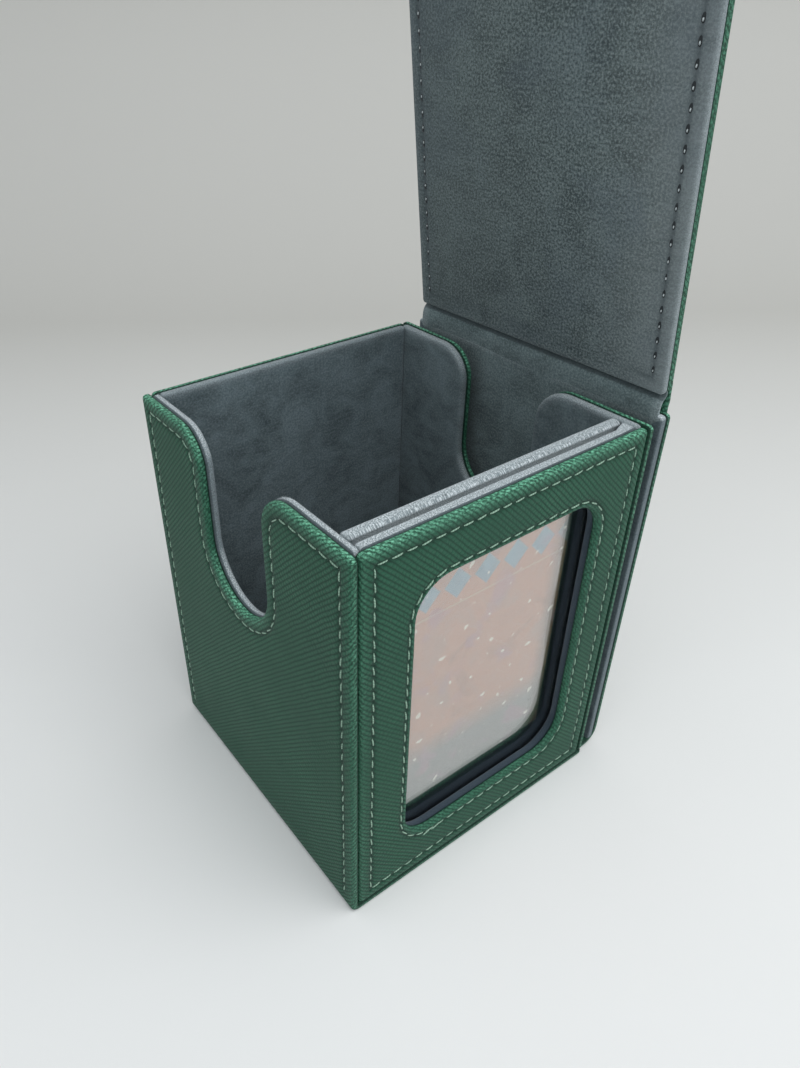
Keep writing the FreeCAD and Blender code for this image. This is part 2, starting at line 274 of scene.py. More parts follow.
def inside(points, loop):
    """Which points lie inside a loop, by counting crossings."""
    x, y = points[:, 0], points[:, 1]
    found = np.zeros(len(points), bool)
    count = len(loop)
    for k in range(count):
        x0, y0 = loop[k]
        x1, y1 = loop[(k + 1) % count]
        if y0 == y1:
            continue
        crosses = (y0 > y) != (y1 > y)
        found ^= crosses & (x < (x1 - x0) * (y - y0) / (y1 - y0) + x0)
    return found


def fill(loops, step, rows):
    """Triangles over the area inside the first loop and outside the others, with new points."""
    loops = [np.array([tuple(p) for p in loop]) for loop in loops]

    def covered(spots):
        found = inside(spots, loops[0])
        for loop in loops[1:]:
            found &= ~inside(spots, loop)
        return found
    low, high = loops[0].min(0), loops[0].max(0)
    us = np.arange(low[0] + step / 2, high[0], step)
    vs = np.arange(low[1] + step / 2, high[1], step)
    rows = np.array([row for row in rows if low[1] < row < high[1]])
    if len(rows):
        vs = vs[np.min(np.abs(vs[:, None] - rows[None, :]), axis=1) > step * 0.4]
        vs = np.sort(np.concatenate([vs, rows]))
    grid = [(u + (step / 2 if k % 2 else 0), v) for k, v in enumerate(vs) for u in us]
    grid = np.array(grid).reshape(-1, 2)
    keep = covered(grid)
    border = np.concatenate(loops)
    for start in range(0, len(border), 200):
        gaps = grid[:, None] - border[None, start:start + 200]
        keep &= np.min(np.hypot(gaps[..., 0], gaps[..., 1]), axis=1) > step * 0.45
    grid = grid[keep]
    points = [Vector(p) for p in border] + [Vector(p) for p in grid]
    edges = []
    offset = 0
    for loop in loops:
        count = len(loop)
        edges += [(offset + k, offset + (k + 1) % count) for k in range(count)]
        offset += count
    verts, _, faces, originals, _, _ = delaunay_2d_cdt(points, edges, [], 0, 1e-7)
    home = [min(o) if o else -1 for o in originals]
    centres = np.array([np.mean([verts[i][:] for i in f], axis=0) for f in faces])
    triangles = [tuple(home[i] for i in f) for f, ok in zip(faces, covered(centres)) if ok]
    return [tuple(p) for p in grid], [t for t in triangles if min(t) >= 0 and len(set(t)) == 3]


# ---------------- sheets
def edge_profile(thick, front, back, stitch, puff, open_back=False):
    """Rings over a sheet's rounded edge, from its back to its face: (inset, height, painted shade, edge).
    The painted shade darkens the gap under a hidden edge and a row's stitch groove; edge is how much of the
    painted rim highlight a ring takes.
    """
    rings = []
    steps = 4
    for k in range(steps + 1):
        angle = math.pi / 2 * k / steps
        # an open back edge is drawn with the painted highlight of a seen edge, not the painted shade of a
        # hidden one
        deep = 0 < k < steps and not open_back
        seen = k == steps or open_back
        rings.append((back * (1 - math.sin(angle)), back * (1 - math.cos(angle)),
                      DEEP if deep else 0.0, 0.85 if seen else 0.0))
    steps = 6
    for k in range(steps + 1):
        angle = math.pi / 2 * k / steps
        rings.append((front * (1 - math.cos(angle)), thick - front * (1 - math.sin(angle)),
                      0.0, 1.0 - 0.6 * k / steps))
    if stitch is None:
        return rings + [(front + 0.8, thick + puff, 0.0, 0.1), (front + 2.2, thick + puff, 0.0, 0.0)]
    room = stitch - front
    if room > 1.6:
        rings.append((front + 0.35 * room, thick + puff, 0.0, 0.12))
        rings.append((stitch - 0.9, thick + puff * 0.8, 0.1, 0.0))
    return rings + [
        (stitch - 0.5, thick - CHANNEL * 0.35, 0.6, 0.0), (stitch, thick - CHANNEL, 1.0, 0.0),
        (stitch + 0.5, thick - CHANNEL * 0.35, 0.6, 0.0), (stitch + 1.0, thick + puff, 0.1, 0.0),
        (stitch + 2.2, thick + puff, 0.0, 0.0)]


def uneven(u, v, seed, size):
    """A soft swell and dip, in -1 to 1, of about this size across."""
    return noise.noise(Vector((u / size + seed * 17.3, v / size - seed * 9.1, seed * 3.7)))


def slab(mesh, place, outline, thick, front=0.9, back=0.5, open_back=False, stitch=None, stitched=None,
         hole=None, hole_front=1.1, hole_stitch=WINDOW_STITCH, puff=0.04, wave=0.10, seed=1, calm=None,
         bulge=None, rows=(), step=2.2, shift=(0.0, 0.0), shade=0.0, side_shade=0.0, glow=None):
    """Add a sheet with rounded edges, sunken stitch rows and a gently uneven face.

    front, back and hole_front are radii. An open back edge is seen as much as the front one, and
    takes its painted highlight in place of the painted shade of a hidden edge. stitch and
    hole_stitch say how far in a row's groove lies, and the groove is darkened with painted shade.
    puff is the face's swell and wave how uneven it is. stitched, calm, bulge and glow are
    functions of (u, v): how much groove there is, how much swell, more height, and a painted
    highlight on the face like a lit edge's. rows are levels that need points. shift moves the
    grain. shade and side_shade paint shade on the hole's edge and on the edges that don't face
    up, and edges that face up take a painted highlight.
    """
    def face_lift(u, v, depth):
        lift = wave * uneven(u, v, seed, WAVE_SIZE) + 0.4 * wave * uneven(u, v, seed + 5, WAVE_SIZE / 3)
        lift *= rise(depth, 0.0, 3.0)
        if calm is not None:
            lift = (lift + puff) * calm(u, v) - puff
        if bulge is not None:
            lift += bulge(u, v)
        return lift

    def add_edge(shape, profile, hollow):
        """Its first and last ring, each as the points' numbers and their places on the sheet."""
        ways = shape.outward()
        way_in = -1 if hollow else 1
        rings = []
        for inset, height, recess_shade, edge in profile:
            ring = shape.ring(inset * way_in)
            ids = []
            for (u, v), way in zip(ring, ways):
                weight = 1.0 if stitched is None or hollow else stitched(u, v)
                high = height
                if 0 < recess_shade < DEEP and height < thick:
                    high = thick + (height - thick) * weight
                if inset > front:
                    high += face_lift(u, v, inset)
                elif bulge is not None:
                    high += bulge(u, v) * rise(height, 0.0, thick)
                # above 0, the painted highlight of an edge that faces up; below 0, painted shade
                up = way.y if way.y > 0.3 else -side_shade
                if hollow:
                    up = -shade
                reach = (thick - height) * way_in
                grain = (u + shift[0] + way.x * reach, v + shift[1] + way.y * reach, 0.0)
                # painted shade: a stitch groove darkens as deep as it is cut, and a hidden edge is dark all
                # over
                dark = recess_shade * weight if recess_shade < DEEP else 1.0
                ids.append(mesh.add(place(u, v, high), grain, (dark, edge, up)))
            rings.append((ids, ring))
        for (low, _), (high, _) in zip(rings, rings[1:]):
            for k in range(len(low)):
                n = (k + 1) % len(low)
                mesh.faces.append((low[k], low[n], high[n], high[k]))
        return rings[0], rings[-1]

    edges = [add_edge(outline, edge_profile(thick, front, back, stitch, puff, open_back), False)]
    if hole is not None:
        edges.append(add_edge(hole, edge_profile(thick, hole_front, back, hole_stitch, puff), True))
    backs, faces = zip(*edges)
    for loops, on_face in ((faces, True), (backs, False)):
        new, triangles = fill([ring for _, ring in loops], step if on_face else step * 2, rows)
        ids = [i for row, _ in loops for i in row]
        for u, v in new:
            high = thick + puff + face_lift(u, v, 9.0) if on_face else 0.0
            # a painted highlight on the face, where glow asks for it
            light = glow(u, v) if glow else 0.0
            ids.append(mesh.add(place(u, v, high), (u + shift[0], v + shift[1], 0.0), (0.0, light, light)))
        mesh.faces += [tuple(ids[i] for i in t) for t in triangles]


def add_nap(mesh, place, outline, thick):
    """Stand short loose fibres along the edges of a suede sheet that face up."""
    ring = outline.ring(0)
    for k, way in enumerate(outline.outward()):
        if way.y < 0.25:
            continue
        along = Vector((way.y, -way.x))
        start, end = ring[k], ring[(k + 1) % len(ring)]
        for _ in range(int((end - start).length * NAP_PER_MM + nap_rng.random())):
            root = start.lerp(end, nap_rng.random()) - way * 0.12
            level = nap_rng.uniform(0.4, thick - 0.35)
            tip = root + way * nap_rng.uniform(0.22, 0.50) + along * nap_rng.uniform(-0.28, 0.28)
            tip_level = level + nap_rng.uniform(-0.30, 0.30)
            half = nap_rng.uniform(0.03, 0.06)
            side = along * half
            corners = ((root - side, level), (root + side, level - half),
                       (root + side * 0.2, level + half), (tip, tip_level))
            # the fibres are marked as lit rim, so they take the suede's painted highlight
            a, b, c, d = [mesh.add(place(spot.x, spot.y, h), (spot.x * 3, spot.y * 3, 0.0), (0.0, 0.8, 0.9))
                          for spot, h in corners]
            mesh.faces += [(a, b, d), (b, c, d), (c, a, d), (a, c, b)]


# ---------------- stitches
def resample(path):
    """Points a whole number of stitch pitches apart along a path."""
    lengths = [0.0]
    for a, b in zip(path, path[1:]):
        lengths.append(lengths[-1] + (b - a).length)
    count = max(1, round(lengths[-1] / STITCH_PITCH))
    found = []
    k = 0
    for n in range(count + 1):
        target = lengths[-1] * n / count
        while k < len(lengths) - 2 and lengths[k + 1] < target:
            k += 1
        span = max(1e-9, lengths[k + 1] - lengths[k])
        found.append(path[k].lerp(path[k + 1], (target - lengths[k]) / span))
    return found


def add_pit(mesh, place, middle, along, across, level):
    """A needle hole that the nap has closed over: a low oval, dark with painted shade, with its stitch
    inside.
    """
    sides = 10
    profile = ((1.0, -0.25), (1.0, 0.0), (0.8, 0.07), (0.4, 0.10))
    for size, high in profile:
        for s in range(sides):
            a = 2 * math.pi * s / sides
            spot = middle + along * (0.95 * size * math.cos(a)) + across * (0.52 * size * math.sin(a))
            # marked for the painted shade of the hole
            mesh.add(place(spot.x, spot.y, level + high), (spot.x, spot.y, 0.0), (1.0, 0.0, 0.0))
    mesh.close_tube(len(profile), sides)


def stitch_row(mesh, place, path, level, closed=False, trim=0.0, fill_share=STITCH_LENGTH / STITCH_PITCH,
               pits=False):
    """Sew along a path: each stitch comes up out of the sheet, lies over it and dives back."""
    path = list(path)
    if closed:
        path.append(path[0])
    if trim:
        path[0] = path[0] + (path[1] - path[0]).normalized() * trim
        path[-1] = path[-1] + (path[-2] - path[-1]).normalized() * trim
    marks = resample(path)
    rings = 9
    sides = 8
    for start, end in zip(marks, marks[1:]):
        along = end - start
        length = along.length * fill_share * rng.uniform(0.94, 1.05)
        along.normalize()
        angle = math.radians(STITCH_LEAN + rng.uniform(-4, 4))
        turned = Vector((along.x * math.cos(angle) - along.y * math.sin(angle),
                         along.x * math.sin(angle) + along.y * math.cos(angle)))
        across = Vector((-turned.y, turned.x))
        middle = (start + end) / 2 + across * rng.uniform(-0.06, 0.06)
        loose = rng.uniform(0.92, 1.12)
        for r in range(rings):
            t = r / (rings - 1) * 2 - 1
            arch = 1 - t ** 4
            plump = 0.55 + 0.45 * (1 - t * t) ** 0.5
            for s in range(sides):
                a = 2 * math.pi * s / sides
                side = THREAD_WIDTH * plump * math.cos(a) * loose
                high = level - 0.36 + 0.40 * arch + THREAD_HEIGHT * plump * math.sin(a) * loose
                spot = middle + turned * (t * length / 2) + across * side
                mesh.add(place(spot.x, spot.y, high), (t * length / 2, side, a))
        mesh.close_tube(rings, sides)
        if pits:
            add_pit(mesh, place, middle - turned * 0.25, turned, across, level)


# ---------------- materials
def arithmetic(operation):
    """A method that adds a math node for two values."""
    return lambda value, other: value.nodes.math(operation, value, other)


class Value:
    """An output of a node tree, whose arithmetic adds math nodes."""

    def __init__(self, nodes, socket):
        self.nodes = nodes
        self.socket = socket

    __add__ = __radd__ = arithmetic("ADD")
    __mul__ = __rmul__ = arithmetic("MULTIPLY")
    __sub__ = arithmetic("SUBTRACT")
    __truediv__ = arithmetic("DIVIDE")
    __pow__ = arithmetic("POWER")

    def __rsub__(self, other):
        return self.nodes.math("SUBTRACT", other, self)

    def __abs__(self):
        return self.nodes.math("ABSOLUTE", self)

    def clamped(self):
        """The same value, kept within 0 to 1 by the math node that made it."""
        self.socket.node.use_clamp = True
        return self


def rgba(colour):
    """A colour in full: one number is a grey, and three are an opaque colour."""
    if isinstance(colour, (int, float)):
        colour = (colour, colour, colour)
    return (*colour, 1.0)[:4]


class Nodes:
    """Short calls for building a node material."""

    def __init__(self, name):
        self.material = bpy.data.materials.new(name)
        self.material.use_nodes = True
        self.tree = self.material.node_tree
        self.shader = self.tree.nodes["Principled BSDF"]

    def put(self, socket, what):
        if isinstance(what, Value):
            self.tree.links.new(what.socket, socket)
        elif what is not None:
            socket.default_value = rgba(what) if socket.type == "RGBA" else what

    def node(self, kind, inputs=(), output=0, **settings):
        """Add a node, set or join its inputs, and give back one of its outputs."""
        made = self.tree.nodes.new(kind)
        for key, setting in settings.items():
            setattr(made, key, setting)
        pairs = inputs.items() if isinstance(inputs, dict) else enumerate(inputs)
        for key, what in pairs:
            self.put(made.inputs[key], what)
        return Value(self, made.outputs[output])

    def math(self, operation, *values):
        return self.node("ShaderNodeMath", values, operation=operation)

    def mix(self, share, a, b, blend="MIX"):
        inputs = {"Factor": share, 6: a, 7: b}
        return self.node("ShaderNodeMix", inputs, 2, data_type="RGBA", blend_type=blend)

    def noise(self, vector, scale, detail=3.0, roughness=0.55, distortion=0.0):
        return self.node("ShaderNodeTexNoise", {"Vector": vector, "Scale": scale, "Detail": detail,
                                                "Roughness": roughness, "Distortion": distortion}, "Fac")

    def ramp(self, value, *stops):
        made = self.node("ShaderNodeValToRGB", (value,))
        elements = made.socket.node.color_ramp.elements
        while len(elements) < len(stops):
            elements.new(0.5)
        for element, (place, colour) in zip(elements, stops):
            element.position = place
            element.color = rgba(colour)
        return made

    def split(self, vector):
        made = self.node("ShaderNodeSeparateXYZ", (vector,)).socket.node
        return [Value(self, output) for output in made.outputs]

    def attribute(self, name):
        """The three parts of a vector attribute of the mesh."""
        return self.split(self.node("ShaderNodeAttribute", output="Vector", attribute_name=name))

    def where(self):
        return self.node("ShaderNodeTexCoord", output="Object")

    def join(self, x, y, z=0.0):
        return self.node("ShaderNodeCombineXYZ", (x, y, z))

    def bump(self, height, distance, strength=1.0):
        return self.node("ShaderNodeBump", {"Strength": strength, "Distance": distance, "Height": height})

    def set(self, **values):
        for key, what in values.items():
            self.put(self.shader.inputs[key.replace("_", " ")], what)


def leather_material():
    """Green leather with a fine diagonal cross grain, satin, darker in the grain's grooves, with painted
    shade in the stitch grooves and the gaps under the edges, and a painted highlight on the edges, most on
    those that face up.
    """
    n = Nodes("green_cross_grain_leather")
    u, v, _ = n.attribute("grain")
    recess_shade, edge, up = n.attribute("mark")
    flat = n.join(u, v)
    per_rib = math.sqrt(0.5) / RIB_PITCH
    across = (u + v) * per_rib
    along = (u - v) * per_rib
    cells = n.noise(n.join(across * 0.9, along * 0.45), 1.0, 2.0)
    wander = n.noise(flat, 0.10, 2.0)
    flurry = edge * (n.noise(flat, 1.25, 2.0) - 0.5)
    bent = across + (wander * 0.55 + cells * 0.22) + flurry * 1.9
    rib = abs(n.math("SINE", bent * math.pi)) ** 0.80
    cross = abs(n.math("SINE", (along * 0.80 + cells * 2.2) * math.pi)) ** 0.45
    height = rib * (0.42 + cross * 0.58) + n.noise(flat, 3.2, 3.0, 0.6) * 0.22
    worn = n.ramp(n.noise(flat, 0.028, 3.0), (0.35, 1), (0.62, 0)) * 0.50
    height = height * (1.0 - worn) + worn * 0.45
    colour = n.mix((height * 0.92).clamped(), (0.0045, 0.0240, 0.0142), (0.0228, 0.1120, 0.0640))
    dust = n.noise(flat, 0.045, 4.0, 0.6)
    colour = n.mix(n.ramp(dust, (0.38, 0), (0.70, 1)) * 0.42, colour, (0.020, 0.062, 0.042))
    # painted highlight: glints on the raised grain of the edges, strongest on edges that face up
    glint = height ** 1.6 * n.ramp(n.noise(flat, 1.5, 2.0), (0.36, 0.10), (0.60, 1))
    edge_highlight = edge * glint * (0.28 + n.math("MAXIMUM", up, 0.0) * 1.00)
    colour = n.mix((edge_highlight * 0.80).clamped(), colour, (0.255, 0.690, 0.460))
    # painted shade in the stitch grooves and the gaps under the edges
    colour = n.mix(recess_shade * 0.72, colour, (0.004, 0.018, 0.012))
    rough = 0.60 - (height * 0.14 + edge * 0.07) + dust * 0.08
    n.set(Base_Color=colour, Roughness=rough, Normal=n.bump(height, 0.00018), Specular_IOR_Level=0.19)
    return n.material


def suede_material(name, tint, sheen, lid_light_and_patches=False, speckle=1.0, rim_highlight_share=1.0):
    """Slate-grey suede, its nap laid in patches by the brush and speckled with lighter fibres, with painted
    highlights on its rims and painted shade in its gaps and grooves.
    """
    n = Nodes(name)
    u, v, _ = n.attribute("grain")
    recess_shade, edge, up = n.attribute("mark")
    shade = n.math("MINIMUM", up, 0.0) * -1.0
    # painted highlight on the rims: most where an edge faces up, and dimmer on panels that get less light
    edge = edge * (0.18 + n.math("MAXIMUM", up, 0.0) * 0.82) * rim_highlight_share
    flat = n.join(u, v)
    patch = n.noise(flat, 0.085, 6.0, 0.66, 0.9)
    strokes = n.noise(n.join(u * 0.13, v * 0.50), 0.9, 4.0, 0.62, 0.6)
    speck = n.noise(flat, 1.75, 3.0, 0.72)
    fibre = n.noise(n.join(u, v * 0.45), 5.0, 2.0, 0.6)
    colour = n.mix(n.ramp(patch, (0.36, 0), (0.64, 1)), (0.078, 0.101, 0.104), (0.190, 0.232, 0.240))
    colour = n.mix(n.ramp(strokes, (0.35, 0), (0.68, 1)) * 0.42, colour, (0.215, 0.252, 0.258))
    colour = n.mix(n.ramp(speck, (0.50, 0), (0.62, 1)) * (0.55 * speckle), colour, (0.330, 0.372, 0.380))
    colour = n.mix(n.ramp(speck, (0.38, 1), (0.50, 0)) * (0.60 * speckle), colour, (0.050, 0.066, 0.070))
    colour = n.mix(1.0, colour, tint, "MULTIPLY")
    # the lid's and flap's suede: painted light across it, and bluish patches of the suede's own colour
    if lid_light_and_patches:
        # painted light, lighter towards the front edge
        near = ((3.0 - u) / 32.0).clamped()
        colour = n.mix(near * near * (0.35 + strokes) * 0.70, colour, (0.250, 0.285, 0.290))
        cold = n.ramp(n.noise(flat, 0.030, 3.0, 0.6, 0.5), (0.48, 0), (0.66, 1))
        colour = n.mix(cold * 0.30, colour, (0.095, 0.125, 0.155))
        # painted shade, darker towards the back
        colour = n.mix((u / 60.0).clamped() * 0.40, colour, (0.070, 0.088, 0.086))
    # painted highlight on the rims
    colour = n.mix(edge * 0.85, colour, (0.320, 0.372, 0.388))
    pits = edge * n.ramp(n.noise(n.join(v, u), 2.7, 2.0, 0.7), (0.40, 1), (0.52, 0))
    colour = n.mix(pits * 0.55, colour, (0.100, 0.125, 0.135))
    # painted shade in the stitch grooves, the gaps under the edges and the crease's fold
    colour = n.mix(recess_shade * 0.60, colour, (0.060, 0.075, 0.080))
    # painted highlight: bright specks where the rims catch the light
    rim = edge * n.ramp(n.noise(flat, 3.2, 2.0, 0.7), (0.46, 0), (0.58, 1))
    colour = n.mix(rim * 0.85, colour, (0.80, 0.86, 0.88))
    colour = n.mix(shade * 0.9, colour, (0.028, 0.046, 0.066))
    n.set(Base_Color=colour, Roughness=0.86 + fibre * 0.12,
          Normal=n.bump(speck * 0.6 + fibre * 0.7, 0.00022, 0.9), Specular_IOR_Level=0.18,
          Sheen_Weight=sheen, Sheen_Roughness=0.5, Sheen_Tint=(0.86, 0.93, 1.0))
    return n.material


def thread_material(name, pale, dark):
    """Twisted thread, and painted shade in a needle hole where the mark says so."""
    n = Nodes(name)
    t, side, around = n.attribute("grain")
    twist = 0.5 + n.math("SINE", t * 9.0 + around) * 0.5
    fuzz = n.noise(n.join(t, side * 3.0, around), 4.0, 2.0)
    colour = n.mix(((twist * 0.6 + fuzz * 0.5) * 0.85).clamped(), dark, pale)
    hole_shade, _, _ = n.attribute("mark")
    n.set(Base_Color=n.mix(hole_shade, colour, (0.014, 0.019, 0.022)), Roughness=0.55 + fuzz * 0.2,
          Normal=n.bump(twist, 0.00006, 0.8), Specular_IOR_Level=0.35,
          Sheen_Weight=0.25, Sheen_Roughness=0.4)
    return n.material


def board_material():
    n = Nodes("raw_greyboard")
    where = n.where()
    fibre = n.noise(where, 900.0, 4.0, 0.7)
    colour = n.mix(fibre, (0.30, 0.285, 0.26), (0.50, 0.48, 0.45))
    fleck = n.ramp(n.noise(where, 260.0, 2.0), (0.62, 0), (0.70, 0.6))
    n.set(Base_Color=n.mix(fleck, colour, (0.20, 0.19, 0.18)), Roughness=0.82 + fibre * 0.12,
          Normal=n.bump(fibre, 0.0001, 0.6))
    return n.material


def magnet_material():
    n = Nodes("nickel_plating")
    scuff = n.noise(n.where(), 500.0, 4.0, 0.6)
    n.set(Base_Color=n.mix(scuff, (0.46, 0.45, 0.43), (0.66, 0.65, 0.62)), Metallic=1.0,
          Roughness=0.20 + scuff * 0.22, Normal=n.bump(scuff, 0.00003, 0.4))
    return n.material


def clear_material():
    """Clear rigid plastic: see-through, with a strong even gloss and faint scuffs."""
    n = Nodes("clear_gloss_plastic")
    where = n.where()
    scuff = n.noise(where, 180.0, 4.0, 0.6, 0.3)
    clear = n.node("ShaderNodeBsdfTransparent", {"Color": (0.97, 0.98, 0.98)})
    gloss = n.node("ShaderNodeBsdfGlossy", {"Color": (0.96, 0.96, 0.95), "Roughness": 0.05 + scuff * 0.03,
                                            "Normal": n.bump(n.noise(where, 30.0, 1.0), 0.00008, 0.3)})
    facing = n.node("ShaderNodeLayerWeight", output="Facing")
    shine = (0.22 + facing ** 5.0 * 0.78).clamped()
    surface = n.node("ShaderNodeMixShader", (shine, clear, gloss))
    n.tree.nodes.remove(n.shader)
    n.put(n.tree.nodes["Material Output"].inputs["Surface"], surface)
    return n.material


def card_material(left, bottom, right, top):
    """A made-up card face: dark border, warm mottled field, thin frame lines and lozenges."""
    n = Nodes("printed_card")
    u, v, _ = n.attribute("grain")
    x = (u - left) / (right - left)
    y = (v - bottom) / (top - bottom)
    flat = n.join(u, v)
    mottle = n.noise(flat, 0.055, 5.0, 0.65, 1.2)
    marble = n.noise(flat, 0.35, 4.0, 0.6, 0.8)
    field = n.ramp(mottle, (0.30, (0.30, 0.110, 0.055)), (0.48, (0.52, 0.215, 0.105)),
                   (0.70, (0.38, 0.215, 0.155)))
    field = n.mix(marble * 0.35, field, (0.60, 0.29, 0.17))

    def band(value, centre, half, soft):
        return ((half + soft - abs(value - centre)) / soft).clamped()

    # a row of pale blue lozenges under the top edge, and thin lines above and below it
    tent = abs(n.math("FRACT", x * LOZENGES) - 0.5)
    drop = abs((y - LOZENGE_ROW) / LOZENGE_HALF)
    lozenge = ((0.92 - (tent * 2.0 + drop)) / 0.10).clamped()
    blue = n.mix(marble, (0.02, 0.15, 0.25), (0.18, 0.46, 0.58))
    field = n.mix(lozenge * (band(y, LOZENGE_ROW, LOZENGE_HALF, 0.004) * 0.85), field, blue)
    for level in (0.798, 0.932):
        field = n.mix(band(y, level, 0.002, 0.002) * 0.7, field, (0.55, 0.42, 0.26))
    # a plain lattice of fine diagonal lines over the middle
    for slant in (u * 0.11 + v * 0.11, u * 0.11 - v * 0.11):
        line = ((0.035 - abs(n.math("FRACT", slant) - 0.5)) / 0.03).clamped()
        field = n.mix(line * (band(y, 0.53, 0.20, 0.05) * 0.16), field, (0.60, 0.46, 0.32))
    # the cool band at the foot of the field
    foot = ((0.36 - y) / 0.10).clamped() * 0.85
    field = n.mix(foot, field, n.mix(marble, (0.060, 0.105, 0.120), (0.20, 0.24, 0.24)))
    # a warm shadow down the right side, and soft red and violet blotches
    field = n.mix(((x - 0.84) / 0.06).clamped() * 0.75, field, (0.085, 0.050, 0.022))
    blotch = n.ramp(n.noise(flat, 0.10, 2.0, 0.5, 0.5), (0.56, 0), (0.66, 1))
    tone = n.mix(n.noise(flat, 0.05, 1.0), (0.55, 0.10, 0.10), (0.20, 0.22, 0.42))
    field = n.mix(blotch * 0.45, field, tone)
    # a few pale specks
    specks = n.ramp(n.noise(flat, 0.33, 0.0), (0.745, 0), (0.775, 1))
    field = n.mix(specks * 0.8, field, (0.80, 0.78, 0.66))
    # the dark border: printed, and drawn wider than a card's own, most at the foot, to take in the painted
    # shade of the recess
    at_side = ((0.072 - n.math("MINIMUM", x, 1.0 - x)) / 0.006).clamped()
    at_foot = ((0.115 - y) / 0.010).clamped()
    at_top = ((y - 0.955) / 0.006).clamped()
    border = n.math("MAXIMUM", at_side, n.math("MAXIMUM", at_foot, at_top))
    linen = n.noise(flat, 2.6, 2.0)
    n.set(Base_Color=n.mix(border, field, (0.006, 0.008, 0.014)), Roughness=0.34 + linen * 0.15,
          Normal=n.bump(linen, 0.000004, 0.5), Specular_IOR_Level=0.3)
    return n.material


LEATHER = leather_material()
SUEDE = suede_material("slate_grey_suede", (0.80, 0.86, 0.91), 0.25, speckle=0.60)
SPINE_SUEDE = suede_material("slate_grey_suede_spine", (0.74, 0.82, 0.81), 0.22, speckle=0.75)
LID_SUEDE = suede_material("slate_grey_suede_lid", (0.66, 0.71, 0.69), 0.16, lid_light_and_patches=True, speckle=1.50)
# darker copies of the suede with dimmer painted rim highlights: painted shade on the insides of the right
# wall and the back wall, where less light falls
RIGHT_SUEDE = suede_material("slate_grey_suede_right_shaded", (0.68, 0.75, 0.77), 0.20, speckle=0.55, rim_highlight_share=0.60)
BACK_SUEDE = suede_material("slate_grey_suede_back_shaded", (0.78, 0.85, 0.89), 0.20, speckle=0.60, rim_highlight_share=0.45)
THREAD = thread_material("sage_thread", (0.400, 0.600, 0.460), (0.120, 0.215, 0.155))
GREY_THREAD = thread_material("grey_thread", (0.640, 0.700, 0.700), (0.250, 0.290, 0.300))
BOARD = board_material()
MAGNET = magnet_material()
CLEAR = clear_material()


def finish_piece(mesh, name, material, slot, body, *replaced):
    piece = mesh.build(name, material)
    if body:
        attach(piece, body)
    if replaced:
        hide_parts(*replaced)
    return piece


def slot_of(material):
    return "green_leather" if material is LEATHER else "grey_suede"


def cover(name, material, place, outline, thick, *replaced, body="box", nap=False, **looks):
    """One leather or suede sheet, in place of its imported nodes."""
    mesh = Mesh()
    slab(mesh, place, outline, thick, **looks)
    if nap:
        add_nap(mesh, place, outline, thick)
    finish_piece(mesh, name, material, slot_of(material), body, *replaced)


def sew(name, thread, place, level, paths, body="box", **how):
    """Rows of stitches, as one piece."""
    mesh = Mesh()
    for path in paths:
        stitch_row(mesh, place, path, level, **how)
    finish_piece(mesh, name, thread, None, body)


# ---------------- sizes from the frame
closing_low, closing_high = box_mm("closing_wall_leather")
side_lining_low, side_lining_high = box_mm("closing_wall_lining")
spine_low, spine_high = box_mm("spine_leather")
spine_lining_low, spine_lining_high = box_mm("spine_lining")
holder_low, holder_high = box_mm("card_holder")
card_low, card_high = box_mm("display_card")
magnet_low, magnet_high = box_mm("closing_wall_magnets")

joints = {joint["name"]: joint for joint in frame["joints"]}
lid_pivot = Vector(joints["lid_hinge"]["pos_m"]) / MM
flap_pivot = Vector(joints["flap_hinge"]["pos_m"]) / MM

TOP = closing_high.z
LEFT, RIGHT = closing_low.x, -closing_low.x
FRONT, BACK = closing_low.y, closing_high.y
SIDE = box_mm("lid_leather")[1].y
SHELL = closing_high.x - closing_low.x              # a panel's leather and board
LINING = side_lining_high.x - side_lining_low.x     # its suede inner board
SKIN = 0.7              # leather alone
ROW_LEVEL = SHELL - STITCH_SINK
LEFT_FOLD = 2.3         # outer radii where the closing wall and the spine turn under
SPINE_FOLD = 5.6
# the notch's middle, bowl radius, lowest point and shoulder radius
NOTCH = ((magnet_low.y + magnet_high.y) / 2, 13.6, 70.0, 9.5)
WINDOW = (-26.75, 15.9, 29.05, 97.7, 9.0)           # left, bottom, right, top, corner radius


def fold_rows(radius):
    quarter = math.pi * radius / 2
    return [radius - quarter * k / 6 for k in range(7)]


def above_foot(u, v):
    """Fades a row of stitches out towards the folded foot."""
    return rise(v, 4.0, 3.0)


# ---------------- closing wall, base and right wall
def make_closing_wall():
    """One sheet: the closing wall, its rounded foot and the base under the box."""
    bottom = LEFT_FOLD - (math.pi * LEFT_FOLD / 2 + (RIGHT - LEFT - LEFT_FOLD))
    rows = fold_rows(LEFT_FOLD)
    outline = notched(FRONT, bottom, BACK, TOP, rows)
    place = folded_wall(LEFT, -1, LEFT_FOLD, SHELL)
    cover("closing_wall_and_base_cover", LEATHER, place, outline, SHELL, "closing_wall_leather",
          "base_leather", back=0.6, stitch=NOTCH_STITCH, seed=3, rows=rows, stitched=above_foot,
          calm=lambda u, v: rise(v, LEFT_FOLD, 4.0))
    threads = Mesh()
    foot = 5.0
    top_row = outline.run(NOTCH_STITCH, 2, 6)
    back_line = [Vector((BACK - NOTCH_STITCH, foot)), top_row[0]]
    front_line = [top_row[-1], Vector((FRONT + NOTCH_STITCH, foot))]
    for path, trim in ((back_line, TRIM), (top_row, 0.0), (front_line, TRIM)):
        stitch_row(threads, place, path, ROW_LEVEL, trim=trim)
    finish_piece(threads, "closing_wall_stitching", THREAD, None, "box")


